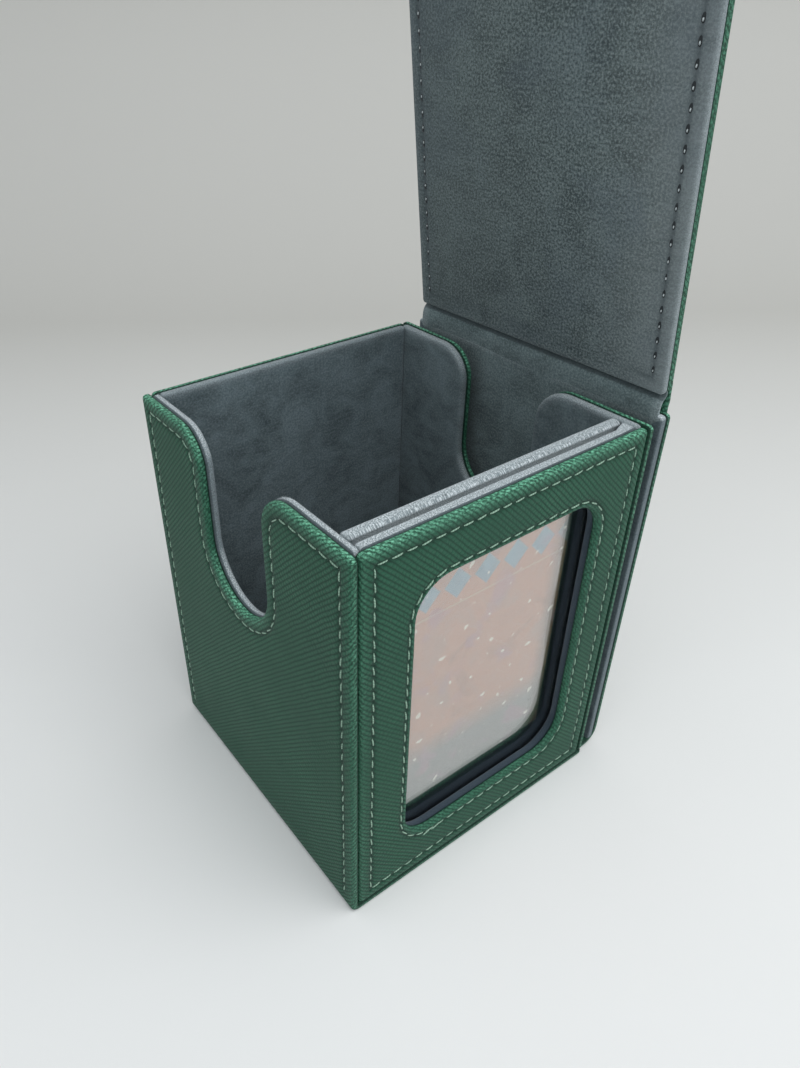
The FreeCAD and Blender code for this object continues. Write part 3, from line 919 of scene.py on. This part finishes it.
def make_side_lining(name, node, way, material):
    """The suede board inside a notched wall, with its face towards the compartment."""
    low, high = box_mm(node)
    place = across_x(low.x if way > 0 else high.x, way)
    cover(name, material, place, notched(low.y, low.z, high.y, TOP), LINING, node, nap=True,
          front=0.8, back=0.6, seed=len(name), wave=0.14, shift=(40.0 * way, 11.0))


def make_right_wall():
    low, high = box_mm("right_wall_leather")
    outline = notched(low.y, low.z, high.y, TOP)
    place = across_x(low.x, 1)
    cover("right_wall_cover", LEATHER, place, outline, SHELL, "right_wall_leather",
          stitch=NOTCH_STITCH, seed=4)
    paths = [outline.run(NOTCH_STITCH, first, last) for first, last in ((1, 2), (2, 6), (6, 7))]
    sew("right_wall_stitching", THREAD, place, ROW_LEVEL, paths)


# ---------------- window wall and back wall
def upright(low, high):
    """The outline of a front or back panel's leather, a little inside its packed box."""
    return rectangle(low.x + 0.35, low.z + 0.1, high.x - 0.35, TOP, 1.3)


def make_lining(name, material, node, way, plump=0.0, **looks):
    """A suede board of the front or the back wall, with its face towards +Y or -Y."""
    low, high = box_mm(node)
    place = across_y(low.y if way > 0 else high.y, way)
    cover(name, material, place, rectangle(low.x, low.z, high.x, TOP, 0.8), high.y - low.y + plump,
          node, nap=True, **looks)


def make_window_wall():
    left, bottom, right, top, radius = WINDOW
    low, high = box_mm("window_panel_leather")
    place = across_y(high.y, -1)
    outline = upright(low, high)
    hole = rectangle(left, bottom, right, top, radius)
    cover("window_panel_cover", LEATHER, place, outline, SHELL, "window_panel_leather",
          front=0.95, back=0.6, stitch=EDGE_STITCH, hole=hole, hole_front=1.2, seed=8)
    threads = Mesh()
    for path in outline.sides(EDGE_STITCH):
        stitch_row(threads, place, path, ROW_LEVEL, trim=TRIM)
    stitch_row(threads, place, hole.ring(-WINDOW_STITCH), ROW_LEVEL, closed=True)
    # the stitched row's start and end overlap at the foot of the window
    for shift in (0.0, 3.1):
        start = Vector((left + 5.2 + shift, bottom - WINDOW_STITCH - 0.28))
        stitch_row(threads, place, [start, start + Vector((3.3, 0.35))], ROW_LEVEL + 0.10, fill_share=0.98)
    finish_piece(threads, "window_panel_stitching", THREAD, None, "box")

    wider = 0.9         # how far the lining's hole stands back from the leather's
    hole = rectangle(left - wider, bottom - wider, right + wider, top + wider, radius + wider)

    def mouth(u, v):
        """Painted highlight at the top of the pocket's mouth, where the slot is in shade."""
        return 0.75 * rise(v, TOP - 9.0, 4.0)

    def closes(u, v):
        """Closes the pocket's mouth beyond the card holder, above its top."""
        share = rise(u, holder_high.x + 0.4, 2.4)
        return 1.5 * share * share * (3 - 2 * share) * rise(v, holder_high.z + 0.8, 4.0)

    make_lining("window_lining", SUEDE, "window_panel_lining", 1, LINING_PLUMP, front=0.5, back=0.45,
                step=1.4, glow=mouth, hole=hole, hole_front=0.9, hole_stitch=None, seed=9, wave=0.04,
                bulge=closes, shade=1.0)
    make_lining("pocket_wall_cover", SUEDE, "pocket_wall", 1, POCKET_PLUMP, front=0.9, back=1.25,
                open_back=True, step=1.6, glow=mouth, seed=10, wave=0.15,
                bulge=lambda u, v: 0.5 * rise(v, 106.0, 4.0))


def make_back_wall():
    low, high = box_mm("back_wall_leather")
    place = across_y(low.y, 1)
    outline = upright(low, high)
    cover("back_wall_cover", LEATHER, place, outline, SHELL, "back_wall_leather", front=0.95,
          stitch=EDGE_STITCH, seed=11)
    sew("back_wall_stitching", THREAD, place, ROW_LEVEL, outline.sides(EDGE_STITCH), trim=TRIM)
    make_lining("back_wall_suede", BACK_SUEDE, "back_wall_lining", -1, front=0.8, back=0.5, seed=12,
                wave=0.16, shift=(5.0, 3.0))


def make_floor():
    low, high = box_mm("floor_lining")
    place = on_plane((0, 0, low.z), (1, 0, 0), (0, 1, 0), (0, 0, 1))
    cover("compartment_floor", SUEDE, place, rectangle(low.x, low.y, high.x, high.y, 0.8),
          high.z - low.z, "floor_lining", front=0.5, back=0.4, seed=13, wave=0.12)


# ---------------- spine
def make_spine():
    """The spine's leather turns under in a wide fold and meets the base."""
    foot = spine_high.x - SPINE_FOLD - RIGHT
    bottom = SPINE_FOLD - math.pi * SPINE_FOLD / 2 - foot
    place = folded_wall(spine_high.x, 1, SPINE_FOLD, SHELL)
    rows = fold_rows(SPINE_FOLD)
    outline = rectangle(spine_low.y, bottom, spine_high.y, spine_high.z, 1.2, rows)
    cover("spine_cover", LEATHER, place, outline, SHELL, "spine_leather", front=0.95, back=0.6,
          stitch=EDGE_STITCH, seed=14, rows=rows, stitched=above_foot, calm=above_foot)
    near, far = spine_low.y + EDGE_STITCH, spine_high.y - EDGE_STITCH
    row_foot, row_top = 7.0, spine_high.z - EDGE_STITCH
    corners = [Vector((far, row_foot)), Vector((far, row_top)),
               Vector((near, row_top)), Vector((near, row_foot))]
    sew("spine_stitching", THREAD, place, ROW_LEVEL, zip(corners, corners[1:]), trim=TRIM)

    low, high = spine_lining_low, spine_lining_high
    place = across_x(high.x, -1)
    cover("spine_suede", SPINE_SUEDE, place, rectangle(low.y, low.z, high.y, high.z, 1.0), LINING,
          "spine_lining", front=0.4, back=0.5, seed=15, wave=0.16, shift=(9.0, 0.0), side_shade=0.55)
    paths = [[Vector((u, 103.0)), Vector((u, 110.0))] for u in (low.y + 2.4, high.y - 2.4)]
    sew("spine_suede_stitching", GREY_THREAD, place, LINING - 0.02, paths)


# ---------------- lid and flap
lean = math.atan2(lid_pivot.x - flap_pivot.x, flap_pivot.z - lid_pivot.z)
ALONG = Vector((-math.sin(lean), 0, math.cos(lean)))
OUT = Vector((math.cos(lean), 0, math.sin(lean)))
CREASE_ABOVE = 1.6      # from the lid's pivot to the lid panel
CREASE_HALF = 3.9       # from the flap's pivot to the panel on each side
CREASE_SUEDE = 0.6      # thickness of the suede that bends
LID_WRAP = 0.40         # how far the lid's leather comes round over its inner board
LID_END = (flap_pivot - lid_pivot).length - CREASE_HALF
FLAP_LENGTH = 66.0
STRIP_HALF = SIDE - 0.2


def make_panel(name, pivot, start, end, top_radius):
    """A lid panel, named as its body is: its leather, its suede and both rows of stitches."""
    back = pivot - OUT * (SHELL - SKIN / 2 + LID_WRAP)
    leather, suede = [on_plane((back.x, 0, back.z), (0, 1, 0), ALONG, OUT * way) for way in (1, -1)]
    outline = rectangle(-SIDE, start, SIDE, end, radii=(1.0, 1.0, top_radius, top_radius))
    rows = outline.sides(EDGE_STITCH)
    cover(f"{name}_cover", LEATHER, leather, outline, SHELL + LID_WRAP, f"{name}_leather", body=name,
          front=0.95, back=0.15, stitch=EDGE_STITCH, seed=len(name) + 20)
    sew(f"{name}_stitching", THREAD, leather, ROW_LEVEL + LID_WRAP, rows, body=name, trim=TRIM)

    def stitched(u, v):
        return rise(abs(u), SIDE - 7.0, 2.0) * rise(v, start + 1.0, 2.0)
    thick = LINING - LID_WRAP
    cover(f"{name}_suede", LID_SUEDE, suede, outline, thick, f"{name}_lining", body=name, front=0.6,
          back=0.25, stitch=EDGE_STITCH, stitched=stitched, seed=len(name) + 31, wave=0.12,
          shift=(13.0, 27.0), side_shade=0.08)
    sew(f"{name}_suede_stitching", GREY_THREAD, suede, thick - STITCH_SINK, rows[1::2], body=name,
        trim=TRIM, fill_share=0.26, pits=True)


def strip(mesh, line, thick, shade_from):
    """A thin bending strip that follows a line of (x, z) points across the box."""
    across = 28
    last = len(line) - 1
    run = 0.0
    ids = {}
    for k, point in enumerate(line):
        way = (line[min(last, k + 1)] - line[max(0, k - 1)]).normalized()
        normal = Vector((-way.y, way.x))
        # painted shade on the part that runs into the fold under the lid
        recess_shade = 1.0 if shade_from is not None and k >= shade_from else 0.0
        if k:
            run += (point - line[k - 1]).length
        for j in range(across + 1):
            y = -STRIP_HALF + 2 * STRIP_HALF * j / across
            edge = 1.0 if j in (0, across) else 0.0
            for side in (0, 1):
                spot = point + normal * (thick * (side - 0.5))
                mark = (recess_shade, edge * (1 - recess_shade), 0.0)
                ids[k, j, side] = mesh.add(Vector((spot.x, y, spot.y)), (y, run, 0.0), mark)
    for k in range(last):
        for j in range(across):
            for side in (0, 1):
                mesh.faces.append((ids[k, j, side], ids[k, j + 1, side],
                                   ids[k + 1, j + 1, side], ids[k + 1, j, side]))
        for j in (0, across):
            mesh.faces.append((ids[k, j, 0], ids[k + 1, j, 0], ids[k + 1, j, 1], ids[k, j, 1]))
    for k in (0, last):
        for j in range(across):
            mesh.faces.append((ids[k, j, 0], ids[k, j, 1], ids[k, j + 1, 1], ids[k, j + 1, 0]))


def curve_through(points, steps=5):
    """A smooth line through points (x, z)."""
    points = [Vector(p) for p in (points[0], *points, points[-1])]
    result = []
    for a, b, c, d in zip(points, points[1:], points[2:], points[3:]):
        for s in range(steps):
            t = s / steps
            result.append(0.5 * ((2 * b) + (c - a) * t + (2 * a - 5 * b + 4 * c - d) * t * t
                                 + (3 * b - a - 3 * c + d) * t ** 3))
    result.append(points[-1])
    return result


def make_crease(name, material, points, thick, *replaced, shade_from=None):
    mesh = Mesh()
    strip(mesh, curve_through(points), thick, shade_from)
    return finish_piece(mesh, name, material, slot_of(material), None, *replaced)


def on_lid(pivot, spots):
    """Points (x, z) from (along the lid from a pivot, offset from its plane towards the box)."""
    points = [pivot + ALONG * along - OUT * offset for along, offset in spots]
    return [(point.x, point.z) for point in points]


def make_creases():
    """Leather and suede that bend: one pair from the spine to the lid, one from lid to flap."""
    spine_top = spine_high.z
    outer = spine_high.x - 0.55
    points = [(outer, spine_top - 2.4), (outer, spine_top - 0.6), (outer - 0.1, spine_top + 1.4)]
    points += on_lid(lid_pivot, ((-1.2, 0.25), (1.0, 0.30), (3.6, 0.25)))
    piece = make_crease("lid_crease_cover", LEATHER, points, SKIN, "lid_crease")
    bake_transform(piece)

    face = spine_lining_low.x
    spots = ((0.60, -5.2), (0.36, -3.0), (0.27, -1.2), (0.25, 0.6), (0.35, 2.2), (0.75, 3.5), (1.6, 4.5))
    points = [(face + across, spine_top + up) for across, up in spots]
    points += on_lid(lid_pivot, ((1.5, 1.7), (2.8, 2.0)))
    # its end towards the lid is darkened with painted shade in the fold under the lid
    piece = make_crease("lid_crease_suede", SPINE_SUEDE, points, CREASE_SUEDE, shade_from=26)
    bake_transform(piece)

    reach = CREASE_HALF + 1.6
    points = on_lid(flap_pivot, ((-reach, 0.15), (-CREASE_HALF, 0.15), (-1.6, 0.3),
                                 (1.6, 0.3), (CREASE_HALF, 0.15), (reach, 0.15)))
    piece = make_crease("flap_crease_cover", LEATHER, points, SKIN, "flap_crease")
    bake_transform(piece)
    points = on_lid(flap_pivot, ((-reach, 2.6), (-CREASE_HALF + 0.4, 2.1), (-1.8, 1.3),
                                 (1.8, 1.3), (CREASE_HALF - 0.4, 2.1), (reach, 2.6)))
    piece = make_crease("flap_crease_suede", LID_SUEDE, points, CREASE_SUEDE)
    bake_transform(piece)


# ---------------- card and holder
def make_card():
    """Two clear sheets joined by strips beside and under the card between them."""
    skin = 0.45
    plain = {"wave": 0.0, "puff": 0.0}
    sheet = rectangle(holder_low.x, holder_low.z, holder_high.x, holder_high.z, 3.0)
    mesh = Mesh()
    for place in (across_y(holder_low.y + skin, -1), across_y(holder_high.y - skin, 1)):
        slab(mesh, place, sheet, skin, front=0.15, back=0.1, step=8.0, **plain)
    gap = holder_high.y - holder_low.y - 2 * skin
    strips = [(holder_low.x + 0.2, holder_low.z + 3.0, card_low.x - 0.3, holder_high.z - 0.4),
              (card_high.x + 0.3, holder_low.z + 3.0, holder_high.x - 0.2, holder_high.z - 0.4),
              (holder_low.x + 1.0, holder_low.z + 0.2, holder_high.x - 1.0, card_low.z - 0.3)]
    for sides in strips:
        slab(mesh, across_y(holder_low.y + skin, 1), rectangle(*sides, 0.6), gap - 0.02,
             front=0.05, back=0.05, step=8.0, **plain)
    finish_piece(mesh, "clear_card_holder", CLEAR, "clear_plastic", "card_holder", "card_holder")
    mesh = Mesh()
    corners = (card_low.x, card_low.z, card_high.x, card_high.z)
    slab(mesh, across_y(card_high.y, -1), rectangle(*corners, 3.0), card_high.y - card_low.y,
         front=0.08, back=0.08, step=4.0, **plain)
    material = card_material(*corners)
    finish_piece(mesh, "generic_display_card", material, "card_print", "card_holder", "display_card")


def dress_frame_nodes():
    """Boards and magnets stay as packed, inside the covers, with their own materials."""
    for name, node in frame["nodes"].items():
        material = BOARD if name.endswith("_board") else MAGNET if name.endswith("_magnets") else None
        if material is not None:
            node.data.materials.clear()
            node.data.materials.append(material)


make_closing_wall()
make_side_lining("closing_wall_suede", "closing_wall_lining", 1, SUEDE)
make_right_wall()
make_side_lining("right_wall_suede", "right_wall_lining", -1, RIGHT_SUEDE)
make_window_wall()
make_back_wall()
make_floor()
make_spine()
make_panel("lid", lid_pivot, CREASE_ABOVE, LID_END, 1.0)
make_panel("flap", flap_pivot, CREASE_HALF, FLAP_LENGTH, 3.0)
make_creases()
make_card()
dress_frame_nodes()


# ---------------- room, light and camera
STAGE_TURN = math.radians(35.2)     # from the box's +Y to the backdrop, the way the camera looks


def stage_material():
    """Pale near the box, and darker towards the backdrop and up it, as painted shade where less light
    reaches.
    """
    n = Nodes("pale_floor")
    where = n.where()
    x, y, z = n.split(where)
    away = x * math.sin(STAGE_TURN) + y * math.cos(STAGE_TURN)
    fine = n.noise(where, 400.0, 2.0)
    colour = n.mix(n.noise(where, 3.0, 3.0), (0.770, 0.775, 0.765), (0.800, 0.805, 0.795))
    # painted shade, darker away from the box
    colour = n.mix(((away - 0.02) / 0.36).clamped(), colour, (0.548, 0.542, 0.512))
    # painted shade, darker up the backdrop
    colour = n.mix(((z - 0.15) / 0.5).clamped(), colour, (0.432, 0.425, 0.392))
    n.set(Base_Color=colour, Roughness=0.55 + fine * 0.1, Normal=n.bump(fine, 0.00004, 0.3),
          Specular_IOR_Level=0.2)
    return n.material


def make_stage():
    """A pale floor that curves up into a pale backdrop."""
    near, far, half, high, bend = -1.6, 0.62, 2.4, 1.6, 0.25
    profile = [(near, 0.0), (far - bend, 0.0)]
    for k in range(1, 13):
        angle = math.pi / 2 * k / 12
        profile.append((far - bend + bend * math.sin(angle), bend - bend * math.cos(angle)))
    profile.append((far, high))
    turn = Matrix.Rotation(-STAGE_TURN, 3, "Z")
    points = [turn @ Vector((x, y, z)) for y, z in profile for x in (-half, half)]
    faces = [(2 * k, 2 * k + 1, 2 * k + 3, 2 * k + 2) for k in range(len(profile) - 1)]
    mesh = bpy.data.meshes.new("pale_floor")
    mesh.from_pydata([tuple(p) for p in points], [], faces)
    mesh.polygons.foreach_set("use_smooth", [True] * len(faces))
    mesh.materials.append(stage_material())
    floor = bpy.data.objects.new("pale_floor", mesh)
    bpy.context.scene.collection.objects.link(floor)


def add_area(name, place, target, size, power):
    light = bpy.data.lights.new(name, "AREA")
    light.size = size
    light.energy = power
    lamp = bpy.data.objects.new(name, light)
    way = Vector(target) - Vector(place)
    lamp.matrix_world = Matrix.Translation(place) @ way.to_track_quat("-Z", "Y").to_matrix().to_4x4()
    bpy.context.scene.collection.objects.link(lamp)


def make_lights():
    world = bpy.data.worlds.new("studio")
    world.use_nodes = True
    background = world.node_tree.nodes["Background"]
    background.inputs["Color"].default_value = (0.90, 0.95, 1.0, 1.0)
    background.inputs["Strength"].default_value = 0.74
    bpy.context.scene.world = world
    add_area("overhead_softbox", (0.0, -0.38, 0.85), (0.0, -0.05, 0.05), 0.90, 4.8)
    add_area("right_softbox", (0.80, -0.60, 0.50), (0.10, -0.05, 0.05), 0.60, 1.1)


def make_camera():
    camera_data = bpy.data.cameras.new("camera")
    camera_data.lens = 26.98
    camera_data.sensor_width = 36.0
    camera_data.shift_x = 0.0581
    camera_data.shift_y = -0.0094
    camera_data.clip_start = 0.01
    camera = bpy.data.objects.new("camera", camera_data)
    right = Vector((0.8115, -0.5842, -0.0143)).normalized()
    forward = Vector((0.4784, 0.6781, -0.5580)).normalized()
    up = right.cross(forward).normalized()
    turn = Matrix((right, up, -forward)).transposed().to_4x4()
    camera.matrix_world = Matrix.Translation((-0.11115, -0.13652, 0.19697)) @ turn
    bpy.context.scene.collection.objects.link(camera)
    bpy.context.scene.camera = camera


make_stage()
make_lights()
make_camera()
bpy.context.scene.view_settings.view_transform = "Standard"
